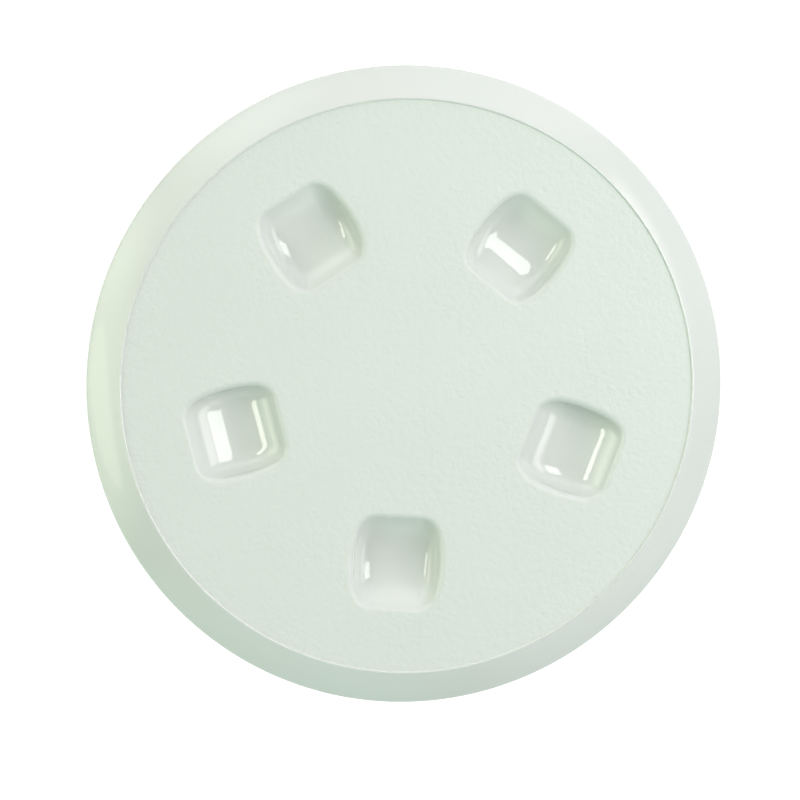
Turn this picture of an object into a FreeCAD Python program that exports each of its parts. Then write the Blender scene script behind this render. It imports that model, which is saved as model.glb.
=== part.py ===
import FreeCAD, Part
import Sketcher
import math
import os

# A screw-in deck inspection plate with five finger wells, for a 127 mm opening.
# The origin is the centre of the deck plane, which is the flange's underside, with +Z up.

doc = FreeCAD.newDocument("DeckInspectionPlate")

# Driving sizes, in millimetres and degrees
driving_sizes = [
    # the cover's skirt, which the whole plate is sized from
    ("skirtDia", "127", "skirt across, at the root of its thread"),
    ("skirtWall", "2.5", "skirt wall"),
    ("skirtDepth", "13", "skirt below the deck plane"),
    # the ring that is fixed to the deck
    ("threadSpace", "1.7", "radial room for the thread between skirt and bore"),
    ("neckWall", "2.3", "neck wall"),
    ("neckBelowSkirt", "5", "neck beyond the skirt's lower rim"),
    ("flangeThick", "3", "fixing flange thickness"),
    ("fixingCount", "6", "number of fixing holes"),
    ("fixingHoleDia", "4.2", "fixing hole"),
    ("fixingHeadDia", "8", "countersink across"),
    ("fixingHeadAngle", "90", "countersink angle"),
    ("fixingMargin", "0.8", "least flange beside the countersinks"),
    # the seal
    ("sealCord", "2.6", "section of the sealing ring"),
    ("sealGap", "0.2", "sealing ring to each of its seats"),
    # the cover's rim and plate
    ("landingGap", "0.3", "cover's landing face above the flange"),
    ("flangeClear", "0.43", "flange edge to the inside of the bevel"),
    ("coverThick", "4.9", "crest above the landing face"),
    ("bevelWidth", "8.2", "bevel in plan"),
    ("bevelWall", "2.4", "wall under the bevel"),
    ("rimGap", "0.4", "rim above the deck"),
    ("rimLand", "1.8", "upright edge of the rim"),
    ("rimSideWall", "2.8", "wall at the rim's foot"),
    ("fieldDrop", "0.45", "field below the crest"),
    ("stepWidth", "0.5", "width of the small step down to the field"),
    ("plateWall", "3", "wall under the field"),
    # the finger wells
    ("wellCount", "5", "number of finger wells"),
    ("wellLength", "24.4", "well at the field, along the plate's radius"),
    ("wellWidth", "23.3", "well at the field, across its middle"),
    ("wellDepth", "6", "well below the field"),
    ("wellDraft", "20", "draft of the well's sides"),
    ("wellFloorRound", "4", "fillet between the well's floor and sides"),
    ("wellWall", "2.5", "wall around the well, under the plate"),
    ("wellSkirtGap", "1.3", "least gap from the wells' shells to the skirt"),
]

# Sizes that follow from the driving ones
derived_sizes = [
    ("skirtRadius", "=skirtDia / 2", "skirt outside"),
    ("skirtInner", "=skirtRadius - skirtWall", "skirt inside"),
    ("skirtBottom", "=-skirtDepth", "skirt's lower rim"),
    ("boreRadius", "=skirtRadius + threadSpace", "ring bore, at the root of its thread"),
    ("neckRadius", "=boreRadius + neckWall", "neck outside"),
    ("neckBottom", "=-(skirtDepth + neckBelowSkirt)", "neck's lower rim"),
    ("landingFace", "=flangeThick + landingGap", "underside of the cover over the flange"),
    ("sealRadius", "=skirtRadius + sealGap + sealCord / 2", "seal's centre line"),
    ("sealHeight", "=landingFace - sealGap - sealCord / 2", "seal's height"),
    ("seatOffset", "=sealRadius - sealHeight + (sealGap + sealCord / 2) * sqrt(2)", "seat at 45 degrees"),
    ("seatTop", "=flangeThick + seatOffset", "radius of the seat at the flange's top"),
    ("seatFoot", "=boreRadius - seatOffset", "height of the seat at the bore"),
    ("fixingRadius", "=ceil(5 * (seatTop + fixingMargin + fixingHeadDia / 2)) / 5", "fixing circle"),
    ("flangeRadius", "=fixingRadius + fixingHeadDia / 2 + fixingMargin", "flange"),
    ("landingRadius", "=flangeRadius + flangeClear", "landing face, outside"),
    ("crestTop", "=landingFace + coverThick", "crest above the deck"),
    ("landTop", "=rimGap + rimLand", "foot of the bevel"),
    ("bevelSlope", "=(crestTop - landTop) / bevelWidth", "rise of the bevel"),
    ("bevelDrop", "=bevelWall * sqrt(1 + bevelSlope^2)", "bevel's wall, measured upright"),
    ("bevelReach", "=(landingFace + bevelDrop - landTop) / bevelSlope", "rim beyond the landing face"),
    ("rimRadius", "=ceil(5 * (landingRadius + bevelReach)) / 5", "rim"),
    ("rimInner", "=rimRadius - rimSideWall", "inside of the rim's foot"),
    ("crestRadius", "=rimRadius - bevelWidth", "crest"),
    ("fieldRadius", "=crestRadius - stepWidth", "edge of the field"),
    ("fieldTop", "=crestTop - fieldDrop", "field"),
    ("plateUnder", "=fieldTop - plateWall", "underside of the plate"),
    ("wellSweep", "=((wellLength / 2)^2 + wellDepth^2) / (2 * wellDepth)", "radius of the well's floor"),
    ("wellAxisLift", "=wellSweep - wellDepth", "the floor's axis above the field"),
    ("wellAxisHeight", "=fieldTop + wellAxisLift", "the floor's axis above the deck"),
    ("shellReach", "=sqrt((wellSweep + wellWall)^2 - (wellAxisLift + plateWall)^2)", "half a shell"),
    ("wellRadius", "=floor(10 * (skirtInner - wellSkirtGap - shellReach)) / 10", "circle of the wells"),
    # the well's section, measured from the floor's axis
    ("wellFloor", "=-wellSweep", "floor"),
    ("wellFloorHalf", "=wellWidth / 2 - wellDepth * tan(wellDraft)", "floor's sharp corner"),
    ("wellTop", "=-wellAxisLift / 2", "top of the cut, above the field"),
    ("wellTopHalf", "=wellWidth / 2 + wellAxisLift / 2 * tan(wellDraft)", "half width of the cut there"),
    ("shellFloor", "=wellFloor - wellWall", "underside of the shell"),
    ("shellFloorHalf", "=wellFloorHalf + wellWall * tan(45 - wellDraft / 2)", "shell's corner"),
    ("shellTopHalf", "=wellTopHalf + wellWall / cos(wellDraft)", "half width of the shell's top"),
    # the seal's six-sided section
    ("sealInner", "=sealRadius - sealCord / 2 * cos(30)", "flat beside the skirt"),
    ("sealOuter", "=sealRadius + sealCord / 2 * cos(30)", "flat away from the skirt"),
    ("sealTop", "=sealHeight + sealCord / 2", "upper edge"),
    ("sealUpper", "=sealHeight + sealCord / 4", "upper end of the flats"),
    ("sealLower", "=sealHeight - sealCord / 4", "lower end of the flats"),
    ("sealBottom", "=sealHeight - sealCord / 2", "lower edge"),
]

sheet = doc.addObject("Spreadsheet::Sheet", "Sizes")
for row, (alias, value, note) in enumerate(driving_sizes + derived_sizes, start=1):
    sheet.set("A%d" % row, note)
    sheet.set("B%d" % row, value)
    sheet.setAlias("B%d" % row, alias)
doc.recompute()


def size(name):
    """The value of a named size. A minus sign before the name turns it over."""
    if name.startswith("-"):
        return -float(sheet.get(name[1:]))
    return float(sheet.get(name))


def formula(name):
    """The expression that ties a constraint or a property to a named size."""
    if name.startswith("-"):
        return "-Sizes." + name[1:]
    return "Sizes." + name


# Bodies and sketches

def new_body(label):
    body = doc.addObject("PartDesign::Body", label)
    body.Label = label
    return body


def origin_feature(body, role):
    for feature in body.Origin.OriginFeatures:
        if feature.Role == role:
            return feature
    raise ValueError("the body has no " + role)


def new_sketch(body, name, plane, up=None, out=None):
    """A sketch on one of the body's own planes, moved up in that plane and out along its normal."""
    sketch = body.newObject("Sketcher::SketchObject", name)
    sketch.AttachmentSupport = [(origin_feature(body, plane), "")]
    sketch.MapMode = "FlatFace"
    if up:
        sketch.setExpression("AttachmentOffset.Base.y", formula(up))
    if out:
        sketch.setExpression("AttachmentOffset.Base.z", formula(out))
    doc.recompute()
    return sketch


def hold_size(sketch, constraint, name):
    """Adds a constraint whose value is a named size."""
    index = sketch.addConstraint(constraint)
    sketch.setExpression("Constraints[%d]" % index, formula(name))


def pin_point(sketch, geometry, position, across, up):
    """Holds a point at two named coordinates. None puts it on the sketch's own axis."""
    if across is None:
        sketch.addConstraint(Sketcher.Constraint("PointOnObject", geometry, position, -2))
    else:
        distance = Sketcher.Constraint("DistanceX", -1, 1, geometry, position, size(across))
        hold_size(sketch, distance, across)
    if up is None:
        sketch.addConstraint(Sketcher.Constraint("PointOnObject", geometry, position, -1))
    else:
        distance = Sketcher.Constraint("DistanceY", -1, 1, geometry, position, size(up))
        hold_size(sketch, distance, up)


def draw_circle(sketch, across, up, radius):
    """A full circle, held by its centre and radius."""
    centre = FreeCAD.Vector(size(across) if across else 0, size(up) if up else 0, 0)
    circle = Part.Circle(centre, FreeCAD.Vector(0, 0, 1), size(radius))
    index = sketch.addGeometry(circle, False)
    pin_point(sketch, index, 3, across, up)
    hold_size(sketch, Sketcher.Constraint("Radius", index, size(radius)), radius)
    doc.recompute()


def draw_outline(sketch, corners, rounds=None):
    """A closed outline through named corners. A corner listed in rounds gets a tangent arc."""
    rounds = rounds or {}
    count = len(corners)
    points = []
    for across, up in corners:
        points.append(FreeCAD.Vector(size(across) if across else 0, size(up) if up else 0, 0))
    starts = list(points)
    ends = list(points)
    for i, radius in rounds.items():
        into = (points[i] - points[i - 1]).normalize()
        out = (points[(i + 1) % count] - points[i]).normalize()
        tangent = size(radius) * math.tan(into.getAngle(out) / 2)
        ends[i] = points[i] - into * tangent
        starts[i] = points[i] + out * tangent
    for i in range(count):
        sketch.addGeometry(Part.LineSegment(starts[i], ends[(i + 1) % count]), False)
    for i in range(count):
        before = (i - 1) % count
        if i in rounds:
            round_corner(sketch, before, i, ends[i], points[i], starts[i], rounds[i])
            corner = sketch.addGeometry(Part.Point(points[i]), True)
            sketch.addConstraint(Sketcher.Constraint("PointOnObject", corner, 1, before))
            sketch.addConstraint(Sketcher.Constraint("PointOnObject", corner, 1, i))
            pin_point(sketch, corner, 1, *corners[i])
        else:
            sketch.addConstraint(Sketcher.Constraint("Coincident", before, 2, i, 1))
            pin_point(sketch, i, 1, *corners[i])
    doc.recompute()


def round_corner(sketch, line_in, line_out, arc_from, corner, arc_to, radius):
    """A tangent arc between the end of one line and the start of the next."""
    into = corner - arc_from
    turns_left = into.cross(arc_to - corner).z > 0
    side = FreeCAD.Vector(-into.y, into.x, 0).normalize()
    centre = arc_from + side * (size(radius) if turns_left else -size(radius))
    first, last = (arc_from, arc_to) if turns_left else (arc_to, arc_from)
    circle = Part.Circle(centre, FreeCAD.Vector(0, 0, 1), size(radius))
    first_angle = math.atan2(first.y - centre.y, first.x - centre.x)
    last_angle = math.atan2(last.y - centre.y, last.x - centre.x)
    arc = sketch.addGeometry(Part.ArcOfCircle(circle, first_angle, last_angle), False)
    end_in, end_out = (1, 2) if turns_left else (2, 1)
    sketch.addConstraint(Sketcher.Constraint("Tangent", line_in, 2, arc, end_in))
    sketch.addConstraint(Sketcher.Constraint("Tangent", arc, end_out, line_out, 1))
    hold_size(sketch, Sketcher.Constraint("Radius", arc, size(radius)), radius)


# Features

def turn_profile(body, kind, name, sketch, axis, angle=360):
    """A Revolution or Groove about one of the sketch's axes, half to each side of its plane."""
    feature = body.newObject("PartDesign::" + kind, name)
    feature.Profile = sketch
    feature.ReferenceAxis = (sketch, [axis])
    feature.Angle = angle
    feature.Midplane = angle < 360
    doc.recompute()
    return feature


def repeat_around(body, name, feature, count):
    """Copies of a feature, evenly spaced about the body's upright axis."""
    pattern = body.newObject("PartDesign::PolarPattern", name)
    pattern.Originals = [feature]
    pattern.Axis = (origin_feature(body, "Z_Axis"), [""])
    pattern.Angle = 360
    pattern.setExpression("Occurrences", formula(count))
    body.Tip = pattern
    doc.recompute()
    return pattern


def must_cut(before, after):
    """A cut that misses the solid shows no error, so the volumes are compared."""
    if after.Shape.Volume > before.Shape.Volume - 1:
        raise ValueError(after.Name + " removed nothing")


# The mounting ring: a neck through the deck, a seat for the seal and a fixing flange

ring = new_body("mounting_ring")

ring_section = new_sketch(ring, "RingSection", "XZ_Plane")
draw_outline(ring_section, [
    ("seatTop", "flangeThick"),
    ("flangeRadius", "flangeThick"),
    ("flangeRadius", None),
    ("neckRadius", None),
    ("neckRadius", "neckBottom"),
    ("boreRadius", "neckBottom"),
    ("boreRadius", "seatFoot"),
])
ring_blank = turn_profile(ring, "Revolution", "RingBlank", ring_section, "V_Axis")

# Countersunk fixing holes, which the cover hides when it is screwed down
fixing_centre = new_sketch(ring, "FixingCentre", "XY_Plane", out="flangeThick")
draw_circle(fixing_centre, "fixingRadius", None, "fixingHoleDia")
fixing_hole = ring.newObject("PartDesign::Hole", "FixingHole")
fixing_hole.Profile = fixing_centre
fixing_hole.DepthType = "ThroughAll"
fixing_hole.HoleCutType = "Countersink"
fixing_hole.setExpression("Diameter", formula("fixingHoleDia"))
fixing_hole.setExpression("HoleCutDiameter", formula("fixingHeadDia"))
fixing_hole.setExpression("HoleCutCountersinkAngle", formula("fixingHeadAngle"))
doc.recompute()
must_cut(ring_blank, fixing_hole)
fixing_holes = repeat_around(ring, "FixingHoles", fixing_hole, "fixingCount")
must_cut(fixing_hole, fixing_holes)


# The cover: one moulding with a bevelled rim, a recessed field, finger wells and a skirt

cover = new_body("cover")

cover_section = new_sketch(cover, "CoverSection", "XZ_Plane")
draw_outline(cover_section, [
    (None, "fieldTop"),
    ("fieldRadius", "fieldTop"),
    ("crestRadius", "crestTop"),
    ("rimRadius", "landTop"),
    ("rimRadius", "rimGap"),
    ("rimInner", "rimGap"),
    ("landingRadius", "landingFace"),
    ("skirtRadius", "landingFace"),
    ("skirtRadius", "skirtBottom"),
    ("skirtInner", "skirtBottom"),
    ("skirtInner", "plateUnder"),
    (None, "plateUnder"),
])
cover_blank = turn_profile(cover, "Revolution", "CoverBlank", cover_section, "V_Axis")

# Shells under the plate, swept about the level axis that each well's floor is swept about
shell_section = new_sketch(cover, "ShellSection", "XZ_Plane", "wellAxisHeight", "wellRadius")
draw_outline(shell_section, [
    ("-shellFloorHalf", "shellFloor"),
    ("shellFloorHalf", "shellFloor"),
    ("shellTopHalf", "wellTop"),
    ("-shellTopHalf", "wellTop"),
])
shell = turn_profile(cover, "Revolution", "Shell", shell_section, "H_Axis", 180)
shells = repeat_around(cover, "Shells", shell, "wellCount")

# The ends of the sweeps stand above the field and are cut off level with it
field_circle = new_sketch(cover, "FieldCircle", "XY_Plane", out="fieldTop")
draw_circle(field_circle, None, None, "fieldRadius")
field_cut = cover.newObject("PartDesign::Pocket", "FieldCut")
field_cut.Profile = field_circle
field_cut.Reversed = True
field_cut.setExpression("Length", "Sizes.wellSweep + Sizes.wellWall")
doc.recompute()
must_cut(shells, field_cut)

# The wells: a rounded barrel, scooped out about a level axis above the field
well_section = new_sketch(cover, "WellSection", "XZ_Plane", "wellAxisHeight", "wellRadius")
draw_outline(well_section, [
    ("-wellFloorHalf", "wellFloor"),
    ("wellFloorHalf", "wellFloor"),
    ("wellTopHalf", "wellTop"),
    ("-wellTopHalf", "wellTop"),
], {0: "wellFloorRound", 1: "wellFloorRound"})
well = turn_profile(cover, "Groove", "Well", well_section, "H_Axis", 180)
must_cut(field_cut, well)
wells = repeat_around(cover, "Wells", well, "wellCount")
must_cut(well, wells)


# The seal: a rubber ring round the skirt, squeezed under the cover onto the ring's seat

seal = new_body("o_ring_seal")

seal_section = new_sketch(seal, "SealSection", "XZ_Plane")
draw_outline(seal_section, [
    ("sealRadius", "sealBottom"),
    ("sealOuter", "sealLower"),
    ("sealOuter", "sealUpper"),
    ("sealRadius", "sealTop"),
    ("sealInner", "sealUpper"),
    ("sealInner", "sealLower"),
])
turn_profile(seal, "Revolution", "SealRing", seal_section, "V_Axis")


# Check every object, then write one file for each piece

for item in doc.Objects:
    if "Invalid" in item.State or "Error" in item.State:
        raise RuntimeError(item.Name + " failed")

pieces = [ring, cover, seal]
for piece in pieces:
    if piece.Shape.isNull() or not piece.Shape.isValid():
        raise RuntimeError(piece.Label + " has no valid shape")

os.makedirs("parts", exist_ok=True)
for piece in pieces:
    piece.Shape.exportStep("parts/" + piece.Label + ".step")
    box = piece.Shape.optimalBoundingBox(False)
    print("%-14s %d solid, %9.1f mm3, across %7.2f, from z %6.2f to %6.2f" % (
        piece.Label, len(piece.Shape.Solids), piece.Shape.Volume, box.XLength, box.ZMin, box.ZMax))
print("circle of the fixing holes %.3f, of the wells %.3f" % (
    2 * size("fixingRadius"), 2 * size("wellRadius")))
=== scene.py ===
import math
import bmesh
import bpy
from mathutils import Matrix, Vector


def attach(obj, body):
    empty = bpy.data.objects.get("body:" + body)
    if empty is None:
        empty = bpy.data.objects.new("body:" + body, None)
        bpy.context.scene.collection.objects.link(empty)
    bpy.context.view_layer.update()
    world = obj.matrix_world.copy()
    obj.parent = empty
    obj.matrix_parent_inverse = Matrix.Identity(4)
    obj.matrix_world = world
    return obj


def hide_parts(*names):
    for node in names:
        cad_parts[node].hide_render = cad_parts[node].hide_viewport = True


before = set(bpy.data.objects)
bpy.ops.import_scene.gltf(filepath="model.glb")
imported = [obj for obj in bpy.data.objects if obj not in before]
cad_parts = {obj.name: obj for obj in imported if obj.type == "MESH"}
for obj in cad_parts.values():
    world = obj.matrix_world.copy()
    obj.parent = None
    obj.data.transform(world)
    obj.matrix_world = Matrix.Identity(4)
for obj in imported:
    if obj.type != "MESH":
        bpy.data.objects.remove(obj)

# Deck inspection plate, closed, seen from above. The dictionaries and the meshes are in mm,
# and makePiece brings each finished mesh to metres.
mm = 0.001
up = Vector((0, 0, 1))
mergeDistance = 0.002
levelTolerance = 1e-4
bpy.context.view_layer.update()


# Mesh helpers

def drawSection(bm, corners, roundSteps=5):
    # corners are (radius, height, rounding), joined in order into one open line
    points = [bm.verts.new((x, 0, z)) for x, z, rounding in corners]
    for pair in zip(points, points[1:]):
        bm.edges.new(pair)
    places = [point.co.copy() for point in points]
    for i, (x, z, rounding) in enumerate(corners):
        if rounding:
            turn = (places[i] - places[i - 1]).angle(places[i + 1] - places[i])
            bmesh.ops.bevel(bm, geom=[points[i]], offset=rounding * math.tan(turn / 2),
                            offset_type="OFFSET", segments=roundSteps, profile=0.5,
                            affect="VERTICES", material=-1)


def turnSection(corners, steps):
    # one section, turned all the way round the upright axis
    bm = bmesh.new()
    drawSection(bm, corners)
    bmesh.ops.spin(bm, geom=bm.verts[:] + bm.edges[:], cent=(0, 0, 0), axis=up,
                   angle=2 * math.pi, steps=steps, use_merge=True)
    return bm


def addMesh(bm, other):
    # copies another bmesh into this one, and frees it
    mesh = bpy.data.meshes.new("part")
    other.to_mesh(mesh)
    other.free()
    bm.from_mesh(mesh)
    bpy.data.meshes.remove(mesh)


def layMarks(bm, alongAndAcross):
    # a UV map, in metres, whose first direction runs along the marks that the mould's cutter left
    layer = bm.loops.layers.uv.new("marks")
    for face in bm.faces:
        middle = face.calc_center_median()
        for loop in face.loops:
            loop[layer].uv = [mm * length for length in alongAndAcross(loop.vert.co, middle)]


def aroundAxis(place, middle):
    # along the circle, and across it; a face's corners stay on its own side of the seam
    turn = Vector((middle.x, middle.y)).angle_signed(Vector((place.x, place.y)), 0)
    along = math.atan2(middle.y, middle.x) - turn
    return along * middle.xy.length, place.xy.length - place.z


def isLevel(verts, height):
    return all(abs(vert.co.z - height) < levelTolerance for vert in verts)


def fillFlat(bm, height):
    # fills the level area between all the open loops at one height
    rim = [edge for edge in bm.edges if edge.is_boundary and isLevel(edge.verts, height)]
    made = bmesh.ops.triangle_fill(bm, edges=rim, use_beauty=True, normal=up)
    return [item for item in made["geom"] if isinstance(item, bmesh.types.BMFace)]


def makePiece(name, bm, body, materials):
    bmesh.ops.remove_doubles(bm, verts=bm.verts, dist=mergeDistance)
    bmesh.ops.recalc_face_normals(bm, faces=bm.faces)
    bmesh.ops.scale(bm, vec=(mm, mm, mm), verts=bm.verts)
    for face in bm.faces:
        face.smooth = True
    openEdges = sum(not edge.is_manifold for edge in bm.edges)
    mesh = bpy.data.meshes.new(name)
    bm.to_mesh(mesh)
    bm.free()
    piece = bpy.data.objects.new(name, mesh)
    bpy.context.collection.objects.link(piece)
    for material in materials:
        mesh.materials.append(material)
    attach(piece, body)
    print(name, "faces", len(mesh.polygons), "open edges", openEdges)
    return piece


# Materials

plasticIor = 1.5
noiseRange = (0.3, 0.7)     # where most of a noise's values lie


def newMaterial(name):
    material = bpy.data.materials.new(name)
    material.use_nodes = True
    return material, material.node_tree.nodes, material.node_tree.links


def objectNoise(nodes, links, size, detail=2):
    # a noise whose features are about so many mm across
    place = nodes.new("ShaderNodeTexCoord")
    noise = nodes.new("ShaderNodeTexNoise")
    noise.inputs["Scale"].default_value = 1 / (size * mm)
    noise.inputs["Detail"].default_value = detail
    links.new(place.outputs["Object"], noise.inputs["Vector"])
    return noise


def markNoise(nodes, links, length, width):
    # a noise drawn out along the mould's marks
    place = nodes.new("ShaderNodeUVMap")
    place.uv_map = "marks"
    draw = nodes.new("ShaderNodeMapping")
    draw.inputs["Scale"].default_value = (1 / (length * mm), 1 / (width * mm), 1)
    links.new(place.outputs["UV"], draw.inputs["Vector"])
    noise = nodes.new("ShaderNodeTexNoise")
    noise.inputs["Scale"].default_value = 1
    noise.inputs["Detail"].default_value = 2
    links.new(draw.outputs["Vector"], noise.inputs["Vector"])
    return noise


def spread(nodes, links, source, low, high):
    # a noise, spread between two values
    ramp = nodes.new("ShaderNodeMapRange")
    ramp.inputs["From Min"].default_value, ramp.inputs["From Max"].default_value = noiseRange
    ramp.inputs["To Min"].default_value = low
    ramp.inputs["To Max"].default_value = high
    links.new(source, ramp.inputs["Value"])
    return ramp.outputs["Result"]


def tint(nodes, links, factor, first, second):
    mix = nodes.new("ShaderNodeMix")
    mix.data_type = "RGBA"
    mix.inputs["A"].default_value = (*first, 1)
    mix.inputs["B"].default_value = (*second, 1)
    links.new(factor, mix.inputs["Factor"])
    return mix.outputs["Result"]


def bump(nodes, links, height, strength, distance, normal=None):
    node = nodes.new("ShaderNodeBump")
    node.inputs["Strength"].default_value = strength
    node.inputs["Distance"].default_value = distance * mm
    links.new(height, node.inputs["Height"])
    if normal:
        links.new(normal, node.inputs["Normal"])
    return node.outputs["Normal"]


glossLook = {
    "colour": (0.64, 0.685, 0.65),
    "colourDrift": (0.625, 0.67, 0.635), "driftSize": 40,
    "roughness": (0.025, 0.06), "hazeSize": 6,
    "waveSize": 14, "waveDepth": 0.004,
    "markLength": 45, "markWidth": 0.8, "markDepth": 0.005,     # the marks that the mould's cutter left
}


def glossPlastic():
    look = glossLook
    material, nodes, links = newMaterial("glossPlastic")
    shader = nodes["Principled BSDF"]
    drift = objectNoise(nodes, links, look["driftSize"])
    links.new(tint(nodes, links, drift.outputs["Fac"], look["colour"], look["colourDrift"]),
              shader.inputs["Base Color"])
    haze = objectNoise(nodes, links, look["hazeSize"], detail=4)
    links.new(spread(nodes, links, haze.outputs["Fac"], *look["roughness"]), shader.inputs["Roughness"])
    wave = objectNoise(nodes, links, look["waveSize"])
    marks = markNoise(nodes, links, look["markLength"], look["markWidth"])
    waved = bump(nodes, links, wave.outputs["Fac"], 1, look["waveDepth"])
    marked = bump(nodes, links, marks.outputs["Fac"], 1, look["markDepth"], waved)
    links.new(marked, shader.inputs["Normal"])
    shader.inputs["IOR"].default_value = plasticIor
    return material


grainLook = {
    "colour": (0.622, 0.674, 0.635),
    "colourDrift": (0.602, 0.654, 0.615), "driftSize": 30,
    "roughness": (0.42, 0.55),
    "grainSize": 1.4, "grainDepth": 0.13,
}


def grainPlastic():
    look = grainLook
    material, nodes, links = newMaterial("grainPlastic")
    shader = nodes["Principled BSDF"]
    drift = objectNoise(nodes, links, look["driftSize"], detail=3)
    links.new(tint(nodes, links, drift.outputs["Fac"], look["colour"], look["colourDrift"]),
              shader.inputs["Base Color"])
    grain = objectNoise(nodes, links, look["grainSize"], detail=1)
    links.new(spread(nodes, links, grain.outputs["Fac"], *look["roughness"]), shader.inputs["Roughness"])
    links.new(bump(nodes, links, grain.outputs["Fac"], 1, look["grainDepth"]), shader.inputs["Normal"])
    shader.inputs["IOR"].default_value = plasticIor
    return material


satinLook = {
    "colour": (0.64, 0.68, 0.64),
    "colourDrift": (0.62, 0.66, 0.615), "driftSize": 25,
    "roughness": (0.28, 0.36), "hazeSize": 1.5,
    "bumpStrength": 0.5, "bumpDepth": 0.01,
}


def satinPlastic():
    look = satinLook
    material, nodes, links = newMaterial("satinPlastic")
    shader = nodes["Principled BSDF"]
    drift = objectNoise(nodes, links, look["driftSize"], detail=3)
    links.new(tint(nodes, links, drift.outputs["Fac"], look["colour"], look["colourDrift"]),
              shader.inputs["Base Color"])
    haze = objectNoise(nodes, links, look["hazeSize"], detail=4)
    links.new(spread(nodes, links, haze.outputs["Fac"], *look["roughness"]), shader.inputs["Roughness"])
    links.new(bump(nodes, links, haze.outputs["Fac"], look["bumpStrength"], look["bumpDepth"]),
              shader.inputs["Normal"])
    shader.inputs["IOR"].default_value = plasticIor
    return material


rubberLook = {
    "colour": (0.018, 0.018, 0.02),
    "colourDrift": (0.03, 0.03, 0.032), "driftSize": 3,
    "roughness": (0.45, 0.62),
    "grainSize": 0.3, "grainStrength": 0.6, "grainDepth": 0.01,
}


def blackRubber():
    look = rubberLook
    material, nodes, links = newMaterial("blackRubber")
    shader = nodes["Principled BSDF"]
    drift = objectNoise(nodes, links, look["driftSize"], detail=4)
    links.new(tint(nodes, links, drift.outputs["Fac"], look["colour"], look["colourDrift"]),
              shader.inputs["Base Color"])
    links.new(spread(nodes, links, drift.outputs["Fac"], *look["roughness"]), shader.inputs["Roughness"])
    grain = objectNoise(nodes, links, look["grainSize"])
    links.new(bump(nodes, links, grain.outputs["Fac"], look["grainStrength"], look["grainDepth"]),
              shader.inputs["Normal"])
    return material


# The cover. Its materials are gloss outside, grain on the field, and satin on the hidden faces.

coverSizes = {
    "fieldRadius": 75.3, "fieldTop": 7.75,
    "crestRadius": 75.47, "crestTop": 8.44,     # the sharp corner, before it is rounded
    "rimRadius": 84.0, "landTop": 2.2, "rimGap": 0.4, "rimInner": 81.2,
    "landingRadius": 78.43, "landingFace": 3.3,
    "skirtRadius": 63.5, "skirtInner": 61.0, "skirtBottom": -13.0,
    "plateUnder": 4.75,
    "stepRound": 0.1, "crestRound": 0.42, "rimRound": 0.7, "rimFootRound": 0.3, "rimInnerRound": 0.25,
    "landingRound": 0.4, "skirtRootRound": 0.3, "skirtEndRound": 0.6, "plateRound": 0.3,
    "fieldStrip": 0.4, "underStrip": 0.45,      # level strips at the section's ends, which fillFlat joins
    "hiddenReach": 0.1,     # how far past the landing face's corners the satin may begin
    "steps": 240,
}

wellSizes = {
    "count": 5, "circle": 46.7, "length": 24.4, "width": 23.3, "depth": 6.0,
    "draft": 16.0, "floorRound": 5.0, "lip": 1.8, "wall": 2.5, "shellCorner": 5.0, "root": 0.3,
    "grainDrop": 0.3,       # how far the field's grain reaches down the lip
    "scoopColumns": 10, "scoopRows": 30, "scoopCollar": 0.3,
    "shellColumns": 6, "shellRows": 16, "shellCollar": 0.1,
    "edgeRows": 5,
}

glossIndex, grainIndex, satinIndex = 0, 1, 2


def barrel(sweep, floorHalf, draft, floorRound, plane, edgeRound):
    # The barrel is a section swept about a level axis, and is cut by a level plane.
    # Depths are measured down from that axis, and the plane's edge is rounded.
    slope = math.radians(draft)
    arcEnd = sweep - floorRound * (1 - math.sin(slope))
    return {
        "sweep": sweep, "slope": slope, "floorRound": floorRound, "plane": plane, "edgeRound": edgeRound,
        "flat": floorHalf - floorRound * math.tan((math.pi / 2 - slope) / 2),
        "wall": (arcEnd - plane - edgeRound * (1 - math.sin(slope))) / math.cos(slope),
    }


def sectionPoint(form, part, share):
    # a point of the half section and its outward normal; the three parts are floor, fillet and wall
    slope = form["slope"]
    if part == 0:
        return Vector((share * form["flat"], form["sweep"])), Vector((0, 1))
    turn = (math.pi / 2 - slope) * (share if part == 1 else 1)
    normal = Vector((math.sin(turn), math.cos(turn)))
    point = Vector((form["flat"], form["sweep"] - form["floorRound"])) + form["floorRound"] * normal
    if part == 2:       # the columns draw closer towards the edge
        point += form["wall"] * share * (2 - share) * Vector((math.sin(slope), -math.cos(slope)))
    return point, normal


def swept(flatPoint, turn):
    # a point of the section, swung along the barrel
    return Vector((flatPoint.x, flatPoint.y * math.sin(turn), -flatPoint.y * math.cos(turn)))


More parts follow.
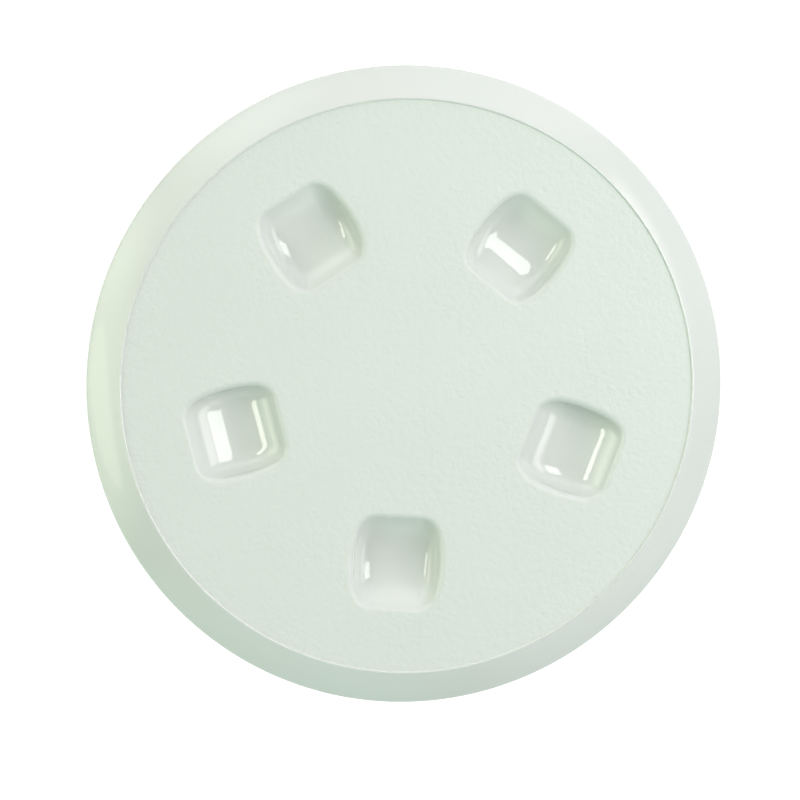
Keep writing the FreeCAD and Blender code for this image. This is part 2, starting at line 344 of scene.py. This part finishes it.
def barrelPatch(form, columns, rows, edgeRows, collar, circle, axisHeight):
    # Columns run across the section, so many to each of its three parts.
    # Rows run along the sweep, then round the edge and out level.
    bm = bmesh.new()
    halfColumns = 3 * columns
    halfRows = rows + edgeRows + 1
    bmesh.ops.create_grid(bm, x_segments=2 * halfColumns, y_segments=2 * halfRows, size=1)
    for vert in bm.verts:
        column = round(abs(vert.co.x) * halfColumns)
        row = round(abs(vert.co.y) * halfRows)
        part = min(column // columns, 2)
        point, normal = sectionPoint(form, part, column / columns - part)
        ball = point + form["edgeRound"] * normal
        last = 0        # the sweep's half angle, which shrinks to nothing at the top of the side walls
        if column < halfColumns:
            last = math.acos((form["plane"] + form["edgeRound"]) / ball.y)
        if row <= rows:
            place = swept(point, last * row / rows)
        else:
            out = swept(normal, last)
            place = swept(ball, last)
            place += form["edgeRound"] * (-out).slerp(up, min(1, (row - rows) / edgeRows))
            if row == halfRows:
                place += collar * Vector((out.x, out.y, 0)).normalized()
        sideways = math.copysign(place.x, vert.co.x)
        outward = math.copysign(place.y, vert.co.y)
        vert.co = (sideways, -circle - outward, axisHeight + place.z)
    bmesh.ops.remove_doubles(bm, verts=bm.verts, dist=mergeDistance)
    return bm


def coverPiece(materials):
    c = coverSizes
    w = wellSizes
    bm = turnSection([
        (c["fieldRadius"] - c["fieldStrip"], c["fieldTop"], 0),
        (c["fieldRadius"], c["fieldTop"], c["stepRound"]),
        (c["crestRadius"], c["crestTop"], c["crestRound"]),
        (c["rimRadius"], c["landTop"], c["rimRound"]),
        (c["rimRadius"], c["rimGap"], c["rimFootRound"]),
        (c["rimInner"], c["rimGap"], c["rimInnerRound"]),
        (c["landingRadius"], c["landingFace"], c["landingRound"]),
        (c["skirtRadius"], c["landingFace"], c["skirtRootRound"]),
        (c["skirtRadius"], c["skirtBottom"], c["skirtEndRound"]),
        (c["skirtInner"], c["skirtBottom"], c["skirtEndRound"]),
        (c["skirtInner"], c["plateUnder"], c["plateRound"]),
        (c["skirtInner"] - c["underStrip"], c["plateUnder"], 0),
    ], c["steps"])
    layMarks(bm, aroundAxis)
    for face in bm.faces:
        middle = face.calc_center_median()
        if (middle.z < c["landingFace"] + c["hiddenReach"]
                and middle.xy.length < c["rimInner"] + c["hiddenReach"]):
            face.material_index = satinIndex

    sweep = ((w["length"] / 2) ** 2 + w["depth"] ** 2) / (2 * w["depth"])
    lift = sweep - w["depth"]
    floorHalf = w["width"] / 2 - w["depth"] * math.tan(math.radians(w["draft"]))
    cornerShift = w["wall"] * math.tan(math.radians(45 - w["draft"] / 2))
    plate = c["fieldTop"] - c["plateUnder"]
    scoop = barrel(sweep, floorHalf, w["draft"], w["floorRound"], lift, w["lip"])
    shell = barrel(sweep + w["wall"], floorHalf + cornerShift, w["draft"], w["shellCorner"],
                   lift + plate, w["root"])
    patches = (
        (scoop, w["scoopColumns"], w["scoopRows"], w["scoopCollar"], glossIndex),
        (shell, w["shellColumns"], w["shellRows"], w["shellCollar"], satinIndex),
    )
    for k in range(w["count"]):
        turn = Matrix.Rotation(2 * math.pi * k / w["count"], 3, "Z")
        for form, columns, rows, collar, index in patches:
            patch = barrelPatch(form, columns, rows, w["edgeRows"], collar, w["circle"],
                                c["fieldTop"] + lift)
            layMarks(patch, lambda place, middle: place.xy)
            for face in patch.faces:
                face.material_index = index
                if index == glossIndex and face.calc_center_median().z > c["fieldTop"] - w["grainDrop"]:
                    face.material_index = grainIndex
            bmesh.ops.rotate(patch, cent=(0, 0, 0), matrix=turn, verts=patch.verts)
            addMesh(bm, patch)

    fillFlat(bm, c["fieldTop"])
    for face in bm.faces:
        if isLevel(face.verts, c["fieldTop"]):
            face.material_index = grainIndex
    for face in fillFlat(bm, c["plateUnder"]):
        face.material_index = satinIndex
    piece = makePiece("coverMoulding", bm, "screw_cover", materials)
    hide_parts("cover")


# The mounting ring, with its countersunk holes

ringSizes = {
    "seatTop": 68.32, "bore": 65.2, "seatFoot": -0.12, "neckBottom": -18.0, "neck": 67.5,
    "flange": 78.0, "flangeThick": 3.0,
    "holeCircle": 73.2, "hole": 2.1, "head": 4.0, "headDepth": 1.9, "holes": 6,
    "seatRound": 0.3, "neckEndRound": 0.5, "neckRootRound": 0.3,
    "flangeTopRound": 0.35, "flangeFootRound": 0.3,
    "headRound": 0.12, "sinkRound": 0.1, "holeFootRound": 0.12,
    # level strips at the sections' ends, which fillFlat joins
    "seatStrip": 0.4, "neckStrip": 0.6, "flangeStrip": 0.45, "headStrip": 0.2, "holeStrip": 0.3,
    "steps": 240, "holeSteps": 48,
}


def ringPiece(materials):
    r = ringSizes
    top = r["flangeThick"]
    bm = turnSection([
        (r["seatTop"] + r["seatStrip"], top, 0),
        (r["seatTop"], top, r["seatRound"]),
        (r["bore"], r["seatFoot"], r["seatRound"]),
        (r["bore"], r["neckBottom"], r["neckEndRound"]),
        (r["neck"], r["neckBottom"], r["neckEndRound"]),
        (r["neck"], 0, r["neckRootRound"]),
        (r["neck"] + r["neckStrip"], 0, 0),
    ], r["steps"])
    addMesh(bm, turnSection([
        (r["flange"] - r["flangeStrip"], top, 0),
        (r["flange"], top, r["flangeTopRound"]),
        (r["flange"], 0, r["flangeFootRound"]),
        (r["flange"] - r["flangeStrip"], 0, 0),
    ], r["steps"]))
    for k in range(r["holes"]):
        hole = turnSection([
            (r["head"] + r["headStrip"], top, 0),
            (r["head"], top, r["headRound"]),
            (r["hole"], top - r["headDepth"], r["sinkRound"]),
            (r["hole"], 0, r["holeFootRound"]),
            (r["hole"] + r["holeStrip"], 0, 0),
        ], r["holeSteps"])
        bmesh.ops.translate(hole, vec=(r["holeCircle"], 0, 0), verts=hole.verts)
        turn = Matrix.Rotation(2 * math.pi * k / r["holes"], 3, "Z")
        bmesh.ops.rotate(hole, cent=(0, 0, 0), matrix=turn, verts=hole.verts)
        addMesh(bm, hole)
    fillFlat(bm, top)
    fillFlat(bm, 0)
    piece = makePiece("ringMoulding", bm, "fixed_ring", materials)
    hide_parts("mounting_ring")


# Threads: one ridge on the skirt and one in the ring's bore, half a turn's rise apart

threadSizes = {
    "lead": 4.0, "rootWidth": 2.3, "crestWidth": 1.0, "crestRound": 0.2,
    "roundSteps": 3, "stepsPerTurn": 120,
    "fadeSteps": 10, "endShare": 0.05,      # the ridge fades to this share of its height at each end
    "skirt": {"root": 63.4, "crest": 64.7, "start": -11.2, "end": -1.6},
    "bore": {"root": 65.3, "crest": 64.0, "start": -13.2, "end": -1.8},
}


def threadPiece(name, place, body, material):
    t = threadSizes
    turns = (place["end"] - place["start"]) / t["lead"]
    steps = round(turns * t["stepsPerTurn"])
    bm = bmesh.new()
    low, high = place["start"] - t["rootWidth"] / 2, place["start"] + t["rootWidth"] / 2
    lower, upper = place["start"] - t["crestWidth"] / 2, place["start"] + t["crestWidth"] / 2
    drawSection(bm, [
        (place["root"], low, 0),
        (place["crest"], lower, t["crestRound"]),
        (place["crest"], upper, t["crestRound"]),
        (place["root"], high, 0),
    ], t["roundSteps"])
    ends = [vert for vert in bm.verts if len(vert.link_edges) == 1]
    bm.edges.new(ends)
    around = len(bm.verts)
    bmesh.ops.spin(bm, geom=bm.verts[:] + bm.edges[:], cent=(0, 0, 0), axis=up,
                   dvec=(0, 0, t["lead"] / t["stepsPerTurn"]), angle=turns * 2 * math.pi, steps=steps)
    bm.verts.ensure_lookup_table()
    for vert in bm.verts:
        step = vert.index // around
        fade = min(1, step / t["fadeSteps"], (steps - step) / t["fadeSteps"])
        radius = vert.co.xy.length
        wanted = place["root"] + (radius - place["root"]) * max(fade, t["endShare"])
        vert.co.xy *= wanted / radius
    bmesh.ops.holes_fill(bm, edges=bm.edges, sides=0)
    makePiece(name, bm, body, [material])


# The sealing ring: round rubber cord, lying on the ring's seat under the cover

sealSizes = {"radius": 65.0, "height": 1.8, "cord": 2.8, "aroundCord": 28, "steps": 240}


def sealPiece(material):
    s = sealSizes
    bm = bmesh.new()
    bmesh.ops.create_circle(bm, cap_ends=False, radius=s["cord"] / 2, segments=s["aroundCord"])
    bmesh.ops.rotate(bm, cent=(0, 0, 0), matrix=Matrix.Rotation(math.pi / 2, 3, "X"), verts=bm.verts)
    bmesh.ops.translate(bm, vec=(s["radius"], 0, s["height"]), verts=bm.verts)
    bmesh.ops.spin(bm, geom=bm.verts[:] + bm.edges[:], cent=(0, 0, 0), axis=up,
                   angle=2 * math.pi, steps=s["steps"], use_merge=True)
    piece = makePiece("sealCord", bm, "risen_seal", [material])
    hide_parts("o_ring_seal")


gloss, grain, satin, rubber = glossPlastic(), grainPlastic(), satinPlastic(), blackRubber()
coverPiece([gloss, grain, satin])
ringPiece([satin])
threadPiece("skirtThread", threadSizes["skirt"], "screw_cover", satin)
threadPiece("boreThread", threadSizes["bore"], "fixed_ring", satin)
sealPiece(rubber)
print("pieces made")


# The table, the lights and the camera. Directions are given as the photograph shows them:
# to the right, up, and out towards the viewer.

viewSizes = {
    "roll": 2.9,            # degrees, how far the plate is turned clockwise in the picture
    "towards": (-0.1125, 0.0782, 0.9906),
    "distance": 2500,
    "frameWidth": 210.56,   # at the plate
    "centre": (1.19, 4.14),     # the plate's centre right of and above the picture's
    "height": 1.3,          # the level that these sizes are taken at
    "sensor": 36,
    "nearest": 10, "furthest": 50000,
    "gamma": 0.75,          # the photograph is printed with some contrast
}


def fromPicture(direction):
    turned = Matrix.Rotation(math.radians(viewSizes["roll"]), 3, "Z") @ Vector(direction)
    return turned.normalized()


def placeCamera():
    v = viewSizes
    back = fromPicture(v["towards"])
    right = fromPicture((1, 0, 0))
    right = (right - right.dot(back) * back).normalized()
    above = back.cross(right)
    aim = Vector((0, 0, v["height"])) - v["centre"][0] * right - v["centre"][1] * above
    data = bpy.data.cameras.new("camera")
    data.sensor_width = v["sensor"]
    data.lens = v["sensor"] * v["distance"] / v["frameWidth"]
    data.clip_start = v["nearest"] * mm
    data.clip_end = v["furthest"] * mm
    camera = bpy.data.objects.new("camera", data)
    turn = Matrix((right, above, back)).transposed().to_4x4()
    camera.matrix_world = Matrix.Translation((aim + v["distance"] * back) * mm) @ turn
    bpy.context.collection.objects.link(camera)
    bpy.context.scene.camera = camera
    bpy.context.scene.view_settings.view_transform = "Standard"
    bpy.context.scene.view_settings.gamma = v["gamma"]


lightSizes = {
    "softbox": {"towards": (0.497, 0.162, 0.852), "distance": 700, "wide": 375, "tall": 396, "lean": 0,
                "shape": "RECTANGLE", "colour": (1, 1, 1), "radiance": 5.9},
    "strip": {"towards": (-0.7015, -0.053, 0.711), "distance": 723, "wide": 112, "tall": 554, "lean": 15,
              "shape": "RECTANGLE", "colour": (1, 0.97, 0.88), "radiance": 6.8},
    "panel": {"towards": (-0.93, -0.14, 0.33), "distance": 700, "wide": 110, "tall": 420, "lean": -5,
              "shape": "ELLIPSE", "colour": (1, 1, 0.8), "radiance": 0.9},
}


def placeLight(name):
    # a flat panel that faces the plate; its lean is clockwise as the photograph shows it
    s = lightSizes[name]
    back = fromPicture(s["towards"])
    above = fromPicture((0, 1, 0))
    above = (above - above.dot(back) * back).normalized()
    above = Matrix.Rotation(math.radians(-s["lean"]), 3, back) @ above
    right = above.cross(back)
    data = bpy.data.lights.new(name, "AREA")
    data.shape = s["shape"]
    data.size = s["wide"] * mm
    data.size_y = s["tall"] * mm
    data.color = s["colour"]
    data.energy = s["radiance"] * math.pi * data.size * data.size_y
    light = bpy.data.objects.new(name, data)
    turn = Matrix((right, above, back)).transposed().to_4x4()
    light.matrix_world = Matrix.Translation(back * s["distance"] * mm) @ turn
    light.visible_camera = False
    bpy.context.collection.objects.link(light)


# The room: an even light, and glows towards the sides of the picture and from below. A glow comes in
# between low and high, as a direction leans towards its side, and between the two heights of above.
surroundSizes = {
    "even": (0.22, 0.22, 0.22),
    "glows": {
        "head": {"side": (0, 1, 0), "low": 0.60, "high": 0.78, "above": (-0.2, 0.1),
                 "colour": (1.08, 0.98, 1.10)},
        "highLeft": {"side": (-0.7, 0.7, 0), "low": 0.72, "high": 0.88, "above": (0.22, 0.35),
                     "colour": (0.98, 1.05, 0.95)},
        "left": {"side": (-1, 0, 0), "low": 0.72, "high": 0.90, "above": (0.1, 0.25),
                 "colour": (1.82, 1.98, 1.5)},
        "foot": {"side": (-0.3, -0.95, 0), "low": 0.75, "high": 0.95, "above": (-0.1, 0.15),
                 "colour": (0.49, 0.85, 0.77)},
        "footRight": {"side": (0.7, -0.7, 0), "low": 0.72, "high": 0.88, "above": (0.22, 0.35),
                      "colour": (0.55, 0.65, 0.65)},
        "cornerRight": {"side": (0.7, -0.7, 0), "low": 0.85, "high": 0.98, "above": (-0.05, 0.1),
                        "colour": (0.7, 0.7, 0.7)},
        "below": {"side": (0, 0, -1), "low": 0.02, "high": 0.25, "above": (-3, -2),     # at any height
                  "colour": (0.85, 0.9, 0.85)},
        "right": {"side": (1, 0, 0), "low": 0.70, "high": 0.80, "above": (0.28, 0.40),
                  "colour": (3.1, 2.75, 2.85)},
    },
}


def shareBetween(nodes, links, direction, side, low, high):
    # rises smoothly from 0 to 1 where the direction leans towards one side
    lean = nodes.new("ShaderNodeVectorMath")
    lean.operation = "DOT_PRODUCT"
    lean.inputs[1].default_value = fromPicture(side)
    links.new(direction, lean.inputs[0])
    share = nodes.new("ShaderNodeMapRange")
    share.interpolation_type = "SMOOTHSTEP"
    share.inputs["From Min"].default_value = low
    share.inputs["From Max"].default_value = high
    links.new(lean.outputs["Value"], share.inputs["Value"])
    return share.outputs["Result"]


def lightSurround():
    world = bpy.data.worlds.new("surround")
    world.use_nodes = True
    nodes, links = world.node_tree.nodes, world.node_tree.links
    direction = nodes.new("ShaderNodeTexCoord").outputs["Generated"]
    total = None
    for glow in surroundSizes["glows"].values():
        sideShare = shareBetween(nodes, links, direction, glow["side"], glow["low"], glow["high"])
        levelShare = shareBetween(nodes, links, direction, up, *glow["above"])
        both = nodes.new("ShaderNodeMath")
        both.operation = "MULTIPLY"
        links.new(sideShare, both.inputs[0])
        links.new(levelShare, both.inputs[1])
        add = nodes.new("ShaderNodeVectorMath")
        add.operation = "MULTIPLY_ADD"
        links.new(both.outputs["Value"], add.inputs[0])
        add.inputs[1].default_value = glow["colour"]
        add.inputs[2].default_value = surroundSizes["even"]
        if total:
            links.new(total, add.inputs[2])
        total = add.outputs["Vector"]
    links.new(total, nodes["Background"].inputs["Color"])
    bpy.context.scene.world = world


tableSizes = {"half": 3000, "height": -18.0, "colour": (0.4, 0.4, 0.4), "roughness": 0.8, "glow": 0.75}


def tablePiece():
    bm = bmesh.new()
    bmesh.ops.create_grid(bm, x_segments=1, y_segments=1, size=tableSizes["half"] * mm)
    bmesh.ops.translate(bm, vec=(0, 0, tableSizes["height"] * mm), verts=bm.verts)
    mesh = bpy.data.meshes.new("table")
    bm.to_mesh(mesh)
    bm.free()
    table = bpy.data.objects.new("table", mesh)
    bpy.context.collection.objects.link(table)
    material, nodes, links = newMaterial("paleTable")
    shader = nodes["Principled BSDF"]
    shader.inputs["Base Color"].default_value = (*tableSizes["colour"], 1)
    shader.inputs["Roughness"].default_value = tableSizes["roughness"]
    shader.inputs["Emission Color"].default_value = (1, 1, 1, 1)
    shader.inputs["Emission Strength"].default_value = tableSizes["glow"]
    mesh.materials.append(material)
    table.visible_glossy = False    # the polished edge mirrors the glow from below, not the pale table


tablePiece()
placeCamera()
for name in lightSizes:
    placeLight(name)
lightSurround()
print("camera, lights and table placed")
